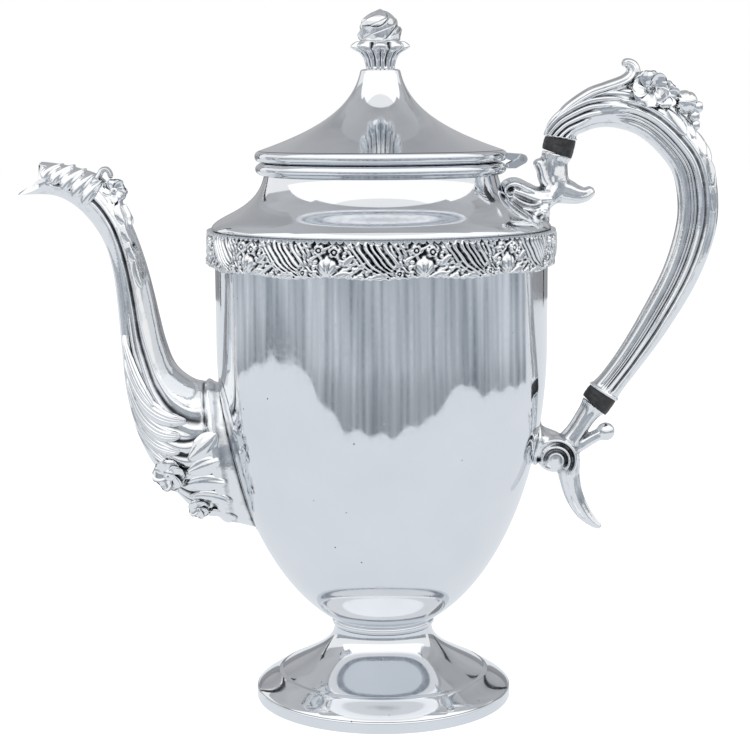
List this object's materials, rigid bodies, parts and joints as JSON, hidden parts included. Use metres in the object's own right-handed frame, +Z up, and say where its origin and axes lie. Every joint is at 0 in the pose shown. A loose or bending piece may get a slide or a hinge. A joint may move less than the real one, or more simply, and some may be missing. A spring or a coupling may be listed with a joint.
{
  "type": "coffee pot",
  "caption": "Silver footed coffee pot: urn body, floral border, cast spout, flower-topped loop handle on black insulators, hinged lid with rosebud finial.",
  "frame": {"origin": "middle of the foot's flat underside, on the pot's axis of revolution", "axes": "+Z up along the pot's axis, spout towards -X, handle towards +X, lid hinge pin along Y"},
  "size_m": [0.2692, 0.1348, 0.2668],
  "materials": {
    "silver": "mirror-polished spun silver plate",
    "cast_silver": "polished cast silver with oxidised recesses",
    "insulator": "turned black fibre",
    "fittings": "plain silver fittings"
  },
  "bodies": {
    "pot": {"foot_ring": "silver", "foot_shell": "silver", "stem_collar": "silver", "body_bowl": "silver", "shoulder": "silver", "floral_border": "cast_silver", "mouth_rim": "silver", "spout_left": "cast_silver", "spout_right": "cast_silver", "spout_leaf_crest": "cast_silver", "upper_socket": "cast_silver", "lower_socket": "cast_silver", "upper_insulator": "insulator", "lower_insulator": "insulator", "handle_left": "cast_silver", "handle_right": "cast_silver", "handle_tangs": "fittings", "insulator_pins": "fittings", "handle_flower_spray": "cast_silver", "hinge_body_leaf": "silver", "hinge_pin": "fittings"},
    "lid": {"lid_cone": "silver", "lid_rim": "silver", "lid_bezel": "silver", "finial_calyx": "cast_silver", "finial_rosebud": "cast_silver", "finial_stud": "fittings", "finial_washer": "fittings", "finial_nut": "fittings", "hinge_lid_leaf": "silver"}
  },
  "joints": [
    {"name": "lid_hinge", "type": "hinge", "parent": "pot", "child": "lid", "pos_m": [0.0536, 0, 0.2104], "axis": [0, 1, 0], "range_deg": [0, 90]}
  ]
}
